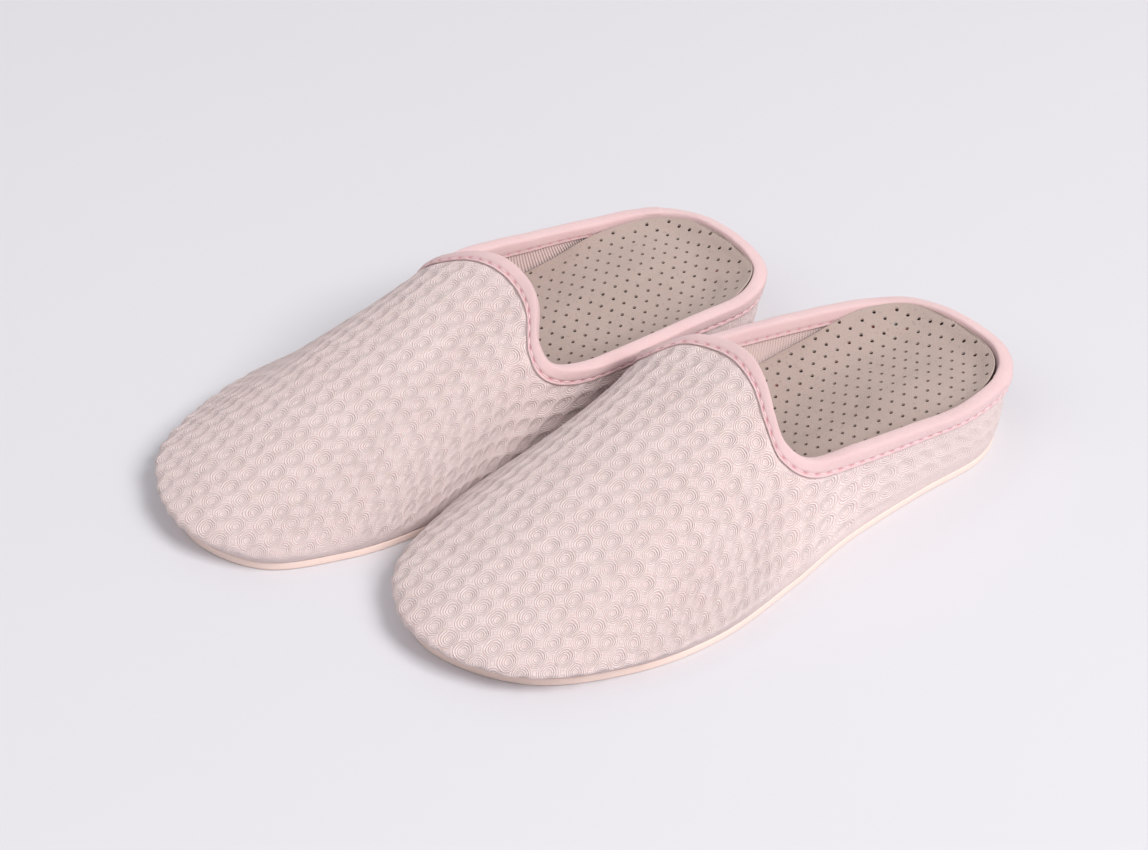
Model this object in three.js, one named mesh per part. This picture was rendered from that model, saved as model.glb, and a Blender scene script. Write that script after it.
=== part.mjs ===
// A pair of closed-toe, open-heel spa slippers. Millimetres, +Z up, toes toward -Y,
// origin on the floor at the middle of the pair. Each slipper is drawn as a left one in
// its own coordinates: x to the outer side, s from the heel end to the toe, z up.
import * as THREE from 'three';

// Overall sizes of one slipper and of the pair
const slipperLength = 265;
const slipperWidth = 114;
const throatRise = 61;          // crest of the vamp's edge above the top of the outsole
const pairSpacing = 112.5;      // between the two long axes
const pairStagger = 33.7;       // how far the right slipper stands ahead of the left
const toeOut = 1.9;             // degrees that each slipper turns outwards

// Thicknesses of the pieces, and the air left between pieces that touch
const clearance = 0.3;
const outsoleThickness = 3.6;
const outsoleChamfer = 0.6;
const outerFabric = 1.2;
const foamThickness = 1.5;
const liningFabric = 0.8;
const stiffenerThickness = 0.8;
const bindingTape = 0.6;
const boardThickness = 1.2;
const footbedThickness = 5;
const coverThickness = 0.8;

// Smaller features
const marginWidth = 12;         // outer fabric turned in under the midsole
const bindingDepth = 6;         // how far the binding reaches down each face
const threadRadius = 0.4;
const threadDrop = 4.6;         // stitch line below the rim
const insoleSlack = 0.4;        // footbed's edge to the binding's inner face
const insoleToeHeight = 15.5;   // top of the insole above the floor, at the toe
const insoleHeelRise = 11;      // how much higher it is at the heel
const heelCup = 2.6;            // hollow across the middle of the heel
const heelEdgeRise = 2.5;       // how much further its edge rises round the back of the heel
const heelCupEnd = 60;          // where the hollow starts to fade and that rise has gone
const heelEnd = 5;              // where the insole starts to fall, from the heel end
const ballStart = 150;          // where the insole is level and the hollow has gone
const stiffenerFrom = 0.34;     // where the toe stiffener starts and ends, as a share of the way
const stiffenerTo = 0.66;       // round the slipper from the heel
const tapeRound = 0.9;          // rounding of the binding's fold over the rim

// Mesh resolution
const stationsAround = 32;
const stepsUp = 5;
const stepsAcross = 4;
const curveSamples = 120;
const wallStart = 3;            // step at which the lining starts
const lastStep = wallStart + stepsUp + 1;
const shoulderLean = 0.5;       // share of its slope that the offset direction keeps one step above it
const stiffenerRise = 3;        // steps that the toe stiffener takes up the wall
const rimShare = 0.9;           // most of the lined wall that the strip under the binding takes

// Edge of the sole, outer side first, as [x, s], drawn at 265 x 114
const drawnLength = 265;
const drawnWidth = 114;
const soleEdge = [
  [-3, 5.5], [14, 6], [31, 12], [42.5, 32], [43, 66],
  [45.5, 106], [52, 141], [56.5, 180], [50, 216], [30, 249.5],
  [-6, 265], [-38.5, 253.5], [-52.5, 225], [-57, 196], [-54, 163],
  [-47, 129], [-42.5, 92], [-40.5, 54], [-34.5, 20], [-20, 7.5],
];

// Rim of the opening as [x, s, z], one point above each point of the sole edge, drawn on a
// sole edge at height 3.9 with its crest 61 above that
const drawnEdgeHeight = 3.9;
const drawnRise = 61;
const rim = [
  [-3.5, -1, 29.5], [21.5, 1.5, 29], [36.5, 16.5, 29.8], [42, 44, 31.5], [42.5, 73.5, 36],
  [42, 101.5, 40.5], [38.5, 121, 42.5], [31.5, 128.5, 49], [22.5, 126, 56.5], [9.5, 119.5, 62.5],
  [-3, 116, 64.5], [-15.5, 115.5, 63], [-28.5, 119.5, 60.5], [-40, 127.5, 52.5], [-48, 126.5, 45.5],
  [-50, 110.5, 39.5], [-47, 81.5, 36], [-42.5, 51.5, 33], [-37, 22.5, 29], [-25, 4.5, 28.6],
];

// How much of the vamp's form, against the plain side wall's, each point takes
const vampShare = [0, 0, 0, 0, 0, 0.06, 0.25, 0.6, 0.85, 0.97, 1, 0.97, 0.85, 0.6, 0.25, 0.06, 0, 0, 0, 0];

// Handles of the section curve that runs from the sole edge up to the rim. Each vamp value
// has a part that grows to the outer side and shrinks to the inner side.
const sideWall = { bulge: 3.5, flare: 1.8, share: 1 / 3 };
const vamp = {
  toeBulge: [9, 1.5],
  toeHeight: [11, 2.4],
  reach: [1.18, 0.18],
  fall: [-62.4, -9.8],
  flare: 1.2,
};

const marginBottom = outsoleThickness + clearance;
const marginTop = marginBottom + outerFabric;
const midsoleBottom = marginTop + clearance;
const foamDepth = outerFabric + clearance;
const liningDepth = foamDepth + foamThickness + clearance;
const innerBodyDepth = liningDepth + clearance;
const bindingInner = liningDepth + liningFabric + clearance;
const insoleDepth = bindingInner + bindingTape + insoleSlack;
const lengthScale = slipperLength / drawnLength;
const widthScale = slipperWidth / drawnWidth;
const riseScale = throatRise / drawnRise;

function smoothStep(from, to, value) {
  const share = THREE.MathUtils.clamp((value - from) / (to - from), 0, 1);
  return share * share * (3 - 2 * share);
}

// Heights of the stacked inner pieces, from y, which is halfLength - s
const alongSole = (point) => slipperLength / 2 - point.y;
function edgeRise(point) {
  return heelEdgeRise * (1 - smoothStep(heelEnd, heelCupEnd * lengthScale, alongSole(point)));
}
function insoleTop(point) {
  const fallen = smoothStep(heelEnd, ballStart * lengthScale, alongSole(point));
  return insoleToeHeight + insoleHeelRise * (1 - fallen) + edgeRise(point);
}
function heelHollow(point) {
  const heel = 1 - smoothStep(heelCupEnd * lengthScale, ballStart * lengthScale, alongSole(point));
  return heelCup * heel + edgeRise(point);
}
const coverBottom = (point) => insoleTop(point) - coverThickness;
const footbedTop = (point) => coverBottom(point) - clearance;
const footbedBottom = (point) => footbedTop(point) - edgeRise(point) - footbedThickness;
const boardTop = (point) => footbedBottom(point) - clearance;
const boardBottom = (point) => boardTop(point) - boardThickness;
const midsoleTop = (point) => boardBottom(point) - clearance;
const level = (height) => () => height;

// The four rings of handles: sole edge, lower, upper, rim
function handleRings() {
  const count = soleEdge.length;
  const base = soleEdge.map(([x, s]) => new THREE.Vector3(
    x * widthScale, slipperLength / 2 - s * lengthScale, marginBottom));
  const rings = [[], [], [], []];
  for (let i = 0; i < count; i++) {
    const along = base[(i + 1) % count].clone().sub(base[(i + count - 1) % count]).normalize();
    const outward = new THREE.Vector3(-along.y, along.x, 0);
    const share = vampShare[i];
    const lean = soleEdge[i][0] / (drawnWidth / 2);
    const at = ([middle, outer]) => middle + outer * lean;
    const [x, s, z] = rim[i];
    const crest = marginBottom + (z - drawnEdgeHeight) * riseScale;
    const top = new THREE.Vector3(x * widthScale, slipperLength / 2 - s * lengthScale, crest);
    top.addScaledVector(outward, (1 - share) * sideWall.flare);
    top.z += share * vamp.flare;
    const rise = top.z - marginBottom;
    const lower = base[i].clone();
    lower.addScaledVector(outward, THREE.MathUtils.lerp(sideWall.bulge, at(vamp.toeBulge), share));
    lower.z += THREE.MathUtils.lerp(rise * sideWall.share, at(vamp.toeHeight) * riseScale, share);
    const upper = top.clone();
    const reach = THREE.MathUtils.lerp(sideWall.share, at(vamp.reach), share);
    upper.x += (base[i].x - top.x) * reach;
    upper.y += (base[i].y - top.y) * reach;
    upper.z += THREE.MathUtils.lerp(-rise * sideWall.share, at(vamp.fall) * riseScale, share);
    [base[i], lower, upper, top].forEach((point, row) => rings[row].push(point));
  }
  return rings.map((ring) => new THREE.CatmullRomCurve3(ring, true, 'catmullrom', 0.5));
}

// Points up one section: sole edge, midsole bottom, halfway, lining start, even steps, rim
function sectionPoints(rings, share) {
  const section = new THREE.CubicBezierCurve3(...rings.map((ring) => ring.getPoint(share)));
  const fine = section.getSpacedPoints(curveSamples);
  const crossing = (height) => {
    const after = fine.findIndex((point) => point.z >= height);
    const before = fine[after - 1];
    const part = (height - before.z) / (fine[after].z - before.z);
    return after - 1 + part;
  };
  const pointAt = (place) => {
    const from = Math.min(Math.floor(place), curveSamples - 1);
    return fine[from].clone().lerp(fine[from + 1], place - from);
  };
  const low = crossing(midsoleBottom);
  const inner = crossing(boardTop(fine[0]) + clearance);
  const length = section.getLength();
  const strip = Math.min(bindingDepth / length, rimShare * (1 - inner / curveSamples));
  const edge = curveSamples * (1 - strip);
  const places = [0, low, (low + inner) / 2, inner];
  for (let i = 1; i <= stepsUp; i++) places.push(inner + (edge - inner) * i / stepsUp);
  places.push(curveSamples);
  return places.map(pointAt);
}

const handles = handleRings();
const skin = [];
for (let i = 0; i < stationsAround; i++) skin.push(sectionPoints(handles, i / stationsAround));

// Directions in which the layers are offset: level up to the foot of the lining, so that the
// pieces there stand beside each other, and square to the skin above it
const normals = skin.map((section, i) => section.map((point, k) => {
  const next = skin[(i + 1) % stationsAround][k];
  const last = skin[(i + stationsAround - 1) % stationsAround][k];
  const around = next.clone().sub(last);
  const up = section[Math.min(k + 1, lastStep)].clone().sub(section[Math.max(k - 1, 0)]);
  const normal = up.cross(around).normalize();
  if (k <= wallStart) normal.z = 0;
  if (k === wallStart + 1) normal.z *= shoulderLean;
  return normal.normalize();
}));

// Point a given depth inside the outer face
const inside = (i, k, depth) => skin[i][k].clone().addScaledVector(normals[i][k], -depth);

// Ring around the slipper at a depth inside the outer face and a height above the floor
function ringAt(depth, heightOf) {
  return skin.map((section, i) => {
    const line = section.map((point, k) => inside(i, k, depth));
    const height = heightOf(line[wallStart]);
    const after = Math.max(1, line.findIndex((point) => point.z >= height));
    const part = (height - line[after - 1].z) / (line[after].z - line[after - 1].z);
    return line[after - 1].clone().lerp(line[after], part).setZ(height);
  });
}

function solid(points, faces) {
  let volume = 0;
  for (const [a, b, c] of faces) volume += points[a].dot(points[b].clone().cross(points[c]));
  const index = faces.flatMap(([a, b, c]) => (volume > 0 ? [a, b, c] : [a, c, b]));
  const geometry = new THREE.BufferGeometry();
  geometry.setAttribute('position', new THREE.Float32BufferAttribute(points.flatMap((p) => p.toArray()), 3));
  geometry.setIndex(index);
  geometry.computeVertexNormals();
  return geometry;
}

// Closed band: one closed profile at each station, joined all the way round. Where the profile
// doesn't climb, the quads are split the other way, so that facing walls match.
function loopSolid(profiles, climbs) {
  const count = profiles.length;
  const size = profiles[0].length;
  const faces = [];
  for (let i = 0; i < count; i++) {
    for (let j = 0; j < size; j++) {
      const a = i * size + j;
      const b = i * size + (j + 1) % size;
      const c = ((i + 1) % count) * size + (j + 1) % size;
      const d = ((i + 1) % count) * size + j;
      faces.push(...(climbs(j) ? [[a, b, c], [a, c, d]] : [[a, b, d], [b, c, d]]));
    }
  }
  return solid(profiles.flat(), faces);
}

// Solid between stacked rings, closed above and below by rows laid across from side to side.
// The hollow lowers the rows by that much in their middle.
function stackSolid(rings, hollowBelow = level(0), hollowAbove = level(0)) {
  const count = stationsAround;
  const points = rings.flat();
  const faces = [];
  for (let r = 0; r + 1 < rings.length; r++) {
    for (let i = 0; i < count; i++) {
      const a = r * count + i;
      const b = r * count + (i + 1) % count;
      faces.push([a, b, b + count], [a, b + count, a + count]);
    }
  }
  for (const [ring, hollow, flip] of [[0, hollowBelow, true], [rings.length - 1, hollowAbove, false]]) {
    const rows = [];
    for (let i = 0; i <= count / 2; i++) {
      const outer = ring * count + i;
      const other = ring * count + (count - i) % count;
      if (outer === other) {
        rows.push([outer]);
        continue;
      }
      const row = [outer];
      for (let j = 1; j < stepsAcross; j++) {
        const share = j / stepsAcross;
        const point = points[outer].clone().lerp(points[other], share);
        point.z -= hollow(point) * 4 * share * (1 - share);
        row.push(points.push(point) - 1);
      }
      rows.push([...row, other]);
    }
    for (let i = 0; i + 1 < rows.length; i++) {
      const [near, far] = [rows[i], rows[i + 1]];
      for (let j = 0; j < stepsAcross; j++) {
        const quad = [near[j] ?? near[0], near[j + 1] ?? near[0], far[j + 1] ?? far[0], far[j] ?? far[0]];
        for (const [a, b, c] of [[quad[0], quad[1], quad[2]], [quad[0], quad[2], quad[3]]]) {
          if (a !== b && b !== c && a !== c) faces.push(flip ? [a, b, c] : [a, c, b]);
        }
      }
    }
  }
  return solid(points, faces);
}

// Shell of the upper between two depths, from one step of the sections to the rim
function shellSolid(fromStep, outerDepth, innerDepth, foot = () => []) {
  return loopSolid(skin.map((section, i) => {
    const profile = [];
    for (let k = fromStep; k <= lastStep; k++) profile.push(inside(i, k, outerDepth(i, k)));
    for (let k = lastStep; k >= Math.max(fromStep, 1); k--) profile.push(inside(i, k, innerDepth(i, k)));
    return [...profile, ...foot(i)];
  }), (j) => j <= lastStep - fromStep);
}

// The toe stiffener lies between the foam and the lining, so the lining makes room for it
const stiffenerStations = [stiffenerFrom, stiffenerTo].map((share) => Math.round(share * stationsAround));
const stiffenerSteps = [wallStart, wallStart + stiffenerRise];
const underStiffener = (i, k) => i >= stiffenerStations[0] && i <= stiffenerStations[1]
  && k >= stiffenerSteps[0] && k <= stiffenerSteps[1];
const stiffenerRoom = stiffenerThickness + 2 * clearance;
const liningAt = (i, k) => liningDepth + (underStiffener(i, k) ? stiffenerRoom : 0);

function stiffener() {
  const points = [];
  const faces = [];
  const rows = stiffenerSteps[1] - stiffenerSteps[0] + 1;
  const columns = stiffenerStations[1] - stiffenerStations[0] + 1;
  for (const depth of [liningDepth, liningDepth + stiffenerThickness]) {
    for (let i = 0; i < columns; i++) {
      for (let k = 0; k < rows; k++) {
        points.push(inside(stiffenerStations[0] + i, stiffenerSteps[0] + k, depth));
      }
    }
  }
  const at = (face, i, k) => face * rows * columns + i * rows + k;
  const quad = (a, b, c, d) => faces.push([a, b, c], [a, c, d]);
  for (let i = 0; i + 1 < columns; i++) {
    for (let k = 0; k + 1 < rows; k++) {
      quad(at(0, i, k), at(0, i + 1, k), at(0, i + 1, k + 1), at(0, i, k + 1));
      quad(at(1, i, k), at(1, i, k + 1), at(1, i + 1, k + 1), at(1, i + 1, k));
    }
    quad(at(0, i, 0), at(1, i, 0), at(1, i + 1, 0), at(0, i + 1, 0));
    quad(at(0, i, rows - 1), at(0, i + 1, rows - 1), at(1, i + 1, rows - 1), at(1, i, rows - 1));
  }
  for (let k = 0; k + 1 < rows; k++) {
    quad(at(0, 0, k), at(0, 0, k + 1), at(1, 0, k + 1), at(1, 0, k));
    quad(at(0, columns - 1, k), at(1, columns - 1, k), at(1, columns - 1, k + 1), at(0, columns - 1, k + 1));
  }
  return solid(points, faces);
}

// Point a given way down the section from the rim, and a given depth inside the outer face.
// A negative drop is above the rim.
function rimPoint(i, depth, drop) {
  const section = skin[i];
  let k = lastStep;
  let left = drop;
  let step = section[k].distanceTo(section[k - 1]);
  while (left > step && k > 1) {
    left -= step;
    k -= 1;
    step = section[k].distanceTo(section[k - 1]);
  }
  const share = left / step;
  const outward = normals[i][k].clone().lerp(normals[i][k - 1], Math.max(share, 0)).normalize();
  return section[k].clone().lerp(section[k - 1], share).addScaledVector(outward, -depth);
}

// Band that follows the rim. Its profile is given as [depth inside the outer face, drop below the rim]
function rimBand(profile) {
  const climbs = (j) => profile[j][1] > profile[(j + 1) % profile.length][1];
  const profiles = skin.map((section, i) => profile.map(([depth, drop]) => rimPoint(i, depth, drop)));
  return loopSolid(profiles, climbs);
}

function outsole() {
  const edge = ringAt(0, level(marginBottom));
  const low = ringAt(outsoleChamfer, level(marginBottom));
  const at = (ring, height) => ring.map((point) => point.clone().setZ(height));
  return stackSolid([at(low, 0), at(edge, outsoleChamfer), at(edge, outsoleThickness)]);
}

function upperOuter() {
  const wallFoot = ringAt(outerFabric, level(marginTop));
  const marginEdge = ringAt(outerFabric + marginWidth, level(marginBottom));
  return shellSolid(0, () => 0, () => outerFabric, (i) => [
    wallFoot[i],
    marginEdge[i].clone().setZ(marginTop),
    marginEdge[i],
  ]);
}

function bottomFiller() {
  const edge = ringAt(outerFabric + marginWidth + clearance, level(marginBottom));
  return stackSolid([edge, edge.map((point) => point.clone().setZ(marginTop))]);
}

function midsole() {
  const halfway = (point) => (midsoleBottom + boardTop(point) + clearance) / 2;
  const heights = [level(midsoleBottom), halfway, midsoleTop];
  return stackSolid(heights.map((height) => ringAt(innerBodyDepth, height)));
}

// Edge of the footbed and its cover, which give way to the stiffener at the toe
const stationsToYield = 2;
function insoleRing(heightOf) {
  const deep = ringAt(insoleDepth + stiffenerRoom, heightOf);
  const [first, last] = stiffenerStations;
  return ringAt(insoleDepth, heightOf).map((point, i) => {
    const reached = smoothStep(first - stationsToYield, first, i);
    const passed = smoothStep(last, last + stationsToYield, i);
    return point.lerp(deep[i], reached * (1 - passed));
  });
}

// The fold of the binding has a corner over each layer's edge, so that it stays beside them
const tapeOuter = -clearance - bindingTape;
const tapeInner = bindingInner + bindingTape;
const bindingProfile = [
  [tapeOuter, bindingDepth], [tapeOuter, 0],
  [tapeOuter + tapeRound, tapeOuter], [tapeInner - tapeRound, tapeOuter],
  [tapeInner, 0], [tapeInner, bindingDepth],
  [bindingInner, bindingDepth], [bindingInner, -clearance],
  [liningDepth, -clearance], [foamDepth + foamThickness, -clearance],
  [foamDepth, -clearance], [outerFabric, -clearance],
  [-clearance, -clearance], [-clearance, bindingDepth],
];
const threadCentre = tapeOuter - clearance - threadRadius;
const threadProfile = [
  [threadCentre - threadRadius, threadDrop], [threadCentre, threadDrop - threadRadius],
  [threadCentre + threadRadius, threadDrop], [threadCentre, threadDrop + threadRadius],
];

function insoleBoard() {
  return stackSolid([boardBottom, boardTop].map((height) => ringAt(innerBodyDepth, height)));
}

const pieces = [
  ['outsole', outsole(), 0xf2dccd, 0.75],
  ['upper_outer', upperOuter(), 0xead5d3, 0.9],
  ['bottom_filler', bottomFiller(), 0xb9a98f, 0.9],
  ['midsole', midsole(), 0xf4f1ea, 0.7],
  ['insole_board', insoleBoard(), 0xc9b48e, 0.9],
  ['footbed', stackSolid([footbedBottom, footbedTop].map(insoleRing), level(0), heelHollow), 0xd9d4cc, 0.9],
  ['insole_cover', stackSolid([coverBottom, insoleTop].map(insoleRing), heelHollow, heelHollow), 0xae9b93, 0.95],
  ['upper_foam', shellSolid(1, () => foamDepth, () => foamDepth + foamThickness), 0xf1efe6, 0.95],
  ['toe_stiffener', stiffener(), 0xe4ddcf, 0.8],
  ['upper_lining', shellSolid(wallStart, liningAt, (i, k) => liningAt(i, k) + liningFabric), 0xcfb6b4, 0.95],
  ['topline_binding', rimBand(bindingProfile), 0xf4d3d5, 0.85],
  ['binding_thread', rimBand(threadProfile), 0xeebfc6, 0.7],
];

function mirrored(geometry) {
  const copy = geometry.clone().scale(-1, 1, 1);
  const index = copy.getIndex().array;
  for (let i = 0; i < index.length; i += 3) [index[i + 1], index[i + 2]] = [index[i + 2], index[i + 1]];
  copy.computeVertexNormals();
  return copy;
}

const pair = new THREE.Group();
for (const [side, sign] of [['left', 1], ['right', -1]]) {
  const slipper = new THREE.Group();
  for (const [name, geometry, color, roughness] of pieces) {
    const material = new THREE.MeshStandardMaterial({ color, roughness, metalness: 0 });
    const mesh = new THREE.Mesh(sign > 0 ? geometry : mirrored(geometry), material);
    mesh.name = `${side}_${name}`;
    slipper.add(mesh);
  }
  slipper.position.set(sign * pairSpacing / 2, sign * pairStagger / 2, 0);
  slipper.rotation.z = THREE.MathUtils.degToRad(sign * toeOut);
  pair.add(slipper);
}

// The pair's footprint is centred on the origin
pair.updateMatrixWorld(true);
const middle = new THREE.Box3().setFromObject(pair, true).getCenter(new THREE.Vector3());
pair.position.set(-middle.x, -middle.y, 0);

export default pair;
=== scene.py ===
import math

import bmesh
import bpy
import numpy as np
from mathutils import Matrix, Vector
from mathutils.bvhtree import BVHTree


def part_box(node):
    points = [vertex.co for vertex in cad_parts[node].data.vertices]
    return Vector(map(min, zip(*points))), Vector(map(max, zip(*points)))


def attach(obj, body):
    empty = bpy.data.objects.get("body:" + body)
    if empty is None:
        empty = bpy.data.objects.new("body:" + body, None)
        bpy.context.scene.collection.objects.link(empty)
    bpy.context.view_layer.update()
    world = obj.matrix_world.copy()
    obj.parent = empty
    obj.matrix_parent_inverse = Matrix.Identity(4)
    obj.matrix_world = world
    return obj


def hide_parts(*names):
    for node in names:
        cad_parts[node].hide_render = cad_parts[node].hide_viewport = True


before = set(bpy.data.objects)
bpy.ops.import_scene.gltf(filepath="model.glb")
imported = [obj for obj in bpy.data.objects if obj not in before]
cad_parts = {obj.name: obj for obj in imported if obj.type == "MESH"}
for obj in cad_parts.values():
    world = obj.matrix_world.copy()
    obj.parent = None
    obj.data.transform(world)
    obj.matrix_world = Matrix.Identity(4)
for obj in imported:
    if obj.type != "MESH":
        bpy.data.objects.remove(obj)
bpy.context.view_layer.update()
print("frame loaded")

# Everything is drawn as a left slipper in millimetres: x to the outer side, s from the heel end
# to the toe, z up. The right slipper is the same drawing mirrored.
sides = {"left": 1, "right": -1}
slipper = {
    "length": 265,
    "stagger": 33.7,
    "spacing": 112.5,
    "toeOut": 1.9,
    "soleTop": 3.6,
    "gap": 0.3,
}
layers = {
    "fabric": 1.2,
    "foam": 1.5,
    "stiffener": 0.8,
    "lining": 0.8,
    "tape": 0.6,
    "insoleSlack": 0.4,
    "margin": 12,
}
heights = {
    "board": 1.2,
    "footbed": 5,
    "cover": 0.8,
    "insoleToe": 15.5,
    "insoleHeelRise": 11,
    "heelCup": 2.6,
    "heelEdgeRise": 2.5,
    "heelEnd": 5,
    "ballStart": 150,
    "cupEnd": 60,
    "cupWidth": 24,
}
marginBottom = slipper["soleTop"] + slipper["gap"]
marginTop = marginBottom + layers["fabric"]
midsoleBottom = marginTop + slipper["gap"]
foamDepth = layers["fabric"] + slipper["gap"]
liningDepth = foamDepth + layers["foam"] + slipper["gap"]
bodyDepth = liningDepth + slipper["gap"]
tapeInnerDepth = liningDepth + layers["lining"] + slipper["gap"] + layers["tape"]
insoleDepth = tapeInnerDepth + layers["insoleSlack"]
stiffenerRoom = layers["stiffener"] + 2 * slipper["gap"]

# Edge of the sole, outer side first, and the rim of the opening above it
soleEdge = np.array([
    (-3, 5.5), (14, 6), (31, 12), (42.5, 32), (43, 66),
    (45.5, 106), (52, 141), (56.5, 180), (50, 216), (30, 249.5),
    (-6, 265), (-38.5, 253.5), (-52.5, 225), (-57, 196), (-54, 163),
    (-47, 129), (-42.5, 92), (-40.5, 54), (-34.5, 20), (-20, 7.5),
])
rim = np.array([
    (-3.5, -1, 29.5), (21.5, 1.5, 29), (36.5, 16.5, 29.8), (42, 44, 31.5), (42.5, 73.5, 36),
    (42, 101.5, 40.5), (38.5, 121, 42.5), (31.5, 128.5, 49), (22.5, 126, 56.5), (9.5, 119.5, 62.5),
    (-3, 116, 64.5), (-15.5, 115.5, 63), (-28.5, 119.5, 60.5), (-40, 127.5, 52.5), (-48, 126.5, 45.5),
    (-50, 110.5, 39.5), (-47, 81.5, 36), (-42.5, 51.5, 33), (-37, 22.5, 29), (-25, 4.5, 28.6),
])
vampShare = np.array([0, 0, 0, 0, 0, 0.06, 0.25, 0.6, 0.85, 0.97, 1, 0.97, 0.85, 0.6, 0.25, 0.06, 0, 0, 0, 0])
halfWidth = 57

# Handles of the curve that runs up each section. A pair is the value in the middle and what
# the outer side has more than that.
sideWall = {"bulge": 3.5, "flare": 1.8, "share": 1 / 3}
vamp = {
    "toeBulge": (9, 1.5),
    "toeHeight": (11, 2.4),
    "reach": (1.18, 0.18),
    "fall": (-62.4, -9.8),
    "flare": 1.2,
}


def smoothStep(low, high, value):
    share = np.clip((value - low) / (high - low), 0, 1)
    return share * share * (3 - 2 * share)


def unit(vectors):
    return vectors / np.maximum(np.linalg.norm(vectors, axis=-1, keepdims=True), 1e-9)


def closedCurve(points, shares):
    # smooth closed curve through the points, read at shares from 0 to 1
    points = np.asarray(points, float)
    place = np.asarray(shares) * len(points)
    first = np.floor(place).astype(int)
    part = (place - first)[:, None] if points.ndim > 1 else place - first
    before, here, after, beyond = (points[(first + k) % len(points)] for k in (-1, 0, 1, 2))
    return 0.5 * (
        2 * here
        + (after - before) * part
        + (2 * before - 5 * here + 4 * after - beyond) * part**2
        + (3 * here - before - 3 * after + beyond) * part**3
    )


def mix(low, high, share):
    return low + (high - low) * share


def handleRings():
    base = np.column_stack([soleEdge, np.full(len(soleEdge), marginBottom)])
    along = unit(np.roll(soleEdge, -1, 0) - np.roll(soleEdge, 1, 0))
    outward = np.column_stack([along[:, 1], -along[:, 0]])
    lean = soleEdge[:, 0] / halfWidth
    at = {name: value[0] + value[1] * lean for name, value in vamp.items() if name != "flare"}
    top = rim.astype(float)
    top[:, :2] += outward * ((1 - vampShare) * sideWall["flare"])[:, None]
    top[:, 2] += vampShare * vamp["flare"]
    rise = top[:, 2] - marginBottom
    lower = base.copy()
    lower[:, :2] += outward * mix(sideWall["bulge"], at["toeBulge"], vampShare)[:, None]
    lower[:, 2] += mix(rise * sideWall["share"], at["toeHeight"], vampShare)
    upper = top.copy()
    reach = mix(sideWall["share"], at["reach"], vampShare)
    upper[:, :2] += (base - top)[:, :2] * reach[:, None]
    upper[:, 2] += mix(-rise * sideWall["share"], at["fall"], vampShare)
    return base, lower, upper, top


def edgeRise(s):
    return heights["heelEdgeRise"] * (1 - smoothStep(heights["heelEnd"], heights["cupEnd"], s))


def insoleTop(s):
    fallen = smoothStep(heights["heelEnd"], heights["ballStart"], s)
    return heights["insoleToe"] + heights["insoleHeelRise"] * (1 - fallen) + edgeRise(s)


def heelHollow(s, fromEdge):
    # how far the insole lies below the level of its edge, by the way in from that edge
    heel = 1 - smoothStep(heights["cupEnd"], heights["ballStart"], s)
    deep = np.clip(fromEdge / heights["cupWidth"], 0, 1)
    return (heights["heelCup"] * heel + edgeRise(s)) * deep * (2 - deep)


def coverBottom(s):
    return insoleTop(s) - heights["cover"]


def footbedTop(s):
    return coverBottom(s) - slipper["gap"]


def footbedBottom(s):
    return footbedTop(s) - edgeRise(s) - heights["footbed"]


def boardTop(s):
    return footbedBottom(s) - slipper["gap"]


def boardBottom(s):
    return boardTop(s) - heights["board"]


def midsoleTop(s):
    return boardBottom(s) - slipper["gap"]


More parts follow.
